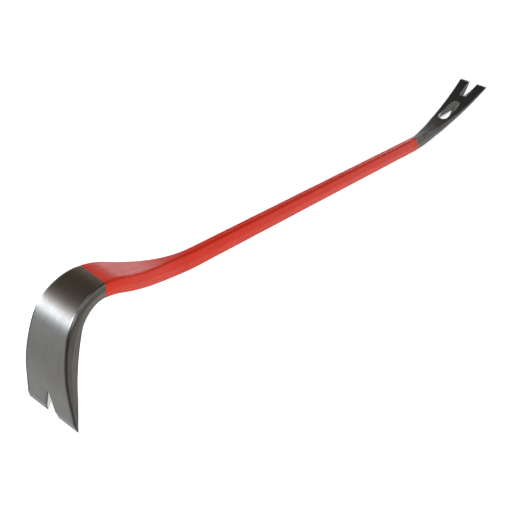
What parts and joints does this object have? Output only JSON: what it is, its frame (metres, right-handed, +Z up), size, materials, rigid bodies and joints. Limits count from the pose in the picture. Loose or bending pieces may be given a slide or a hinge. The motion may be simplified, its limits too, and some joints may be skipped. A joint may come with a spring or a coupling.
{
  "type": "pry bar",
  "caption": "Forged steel pry bar: wide hooked claw on a gooseneck, painted six-sided shank, and a straight claw with a nail notch and a nail hole.",
  "frame": {"origin": "centre of the bounding box, on the surface that the bar stands on", "axes": "+X along the bar from the hook claw to the straight claw, +Y across the bar, +Z up"},
  "size_m": [0.9136, 0.0694, 0.1375],
  "materials": {
    "bare_steel": "ground and linished forging under a thin clear lacquer, satin",
    "red_paint": "glossy red enamel with slightly soft edges"
  },
  "bodies": {
    "root": {"forged_bar": "bare_steel", "red_coat": "red_paint"}
  },
  "joints": []
}
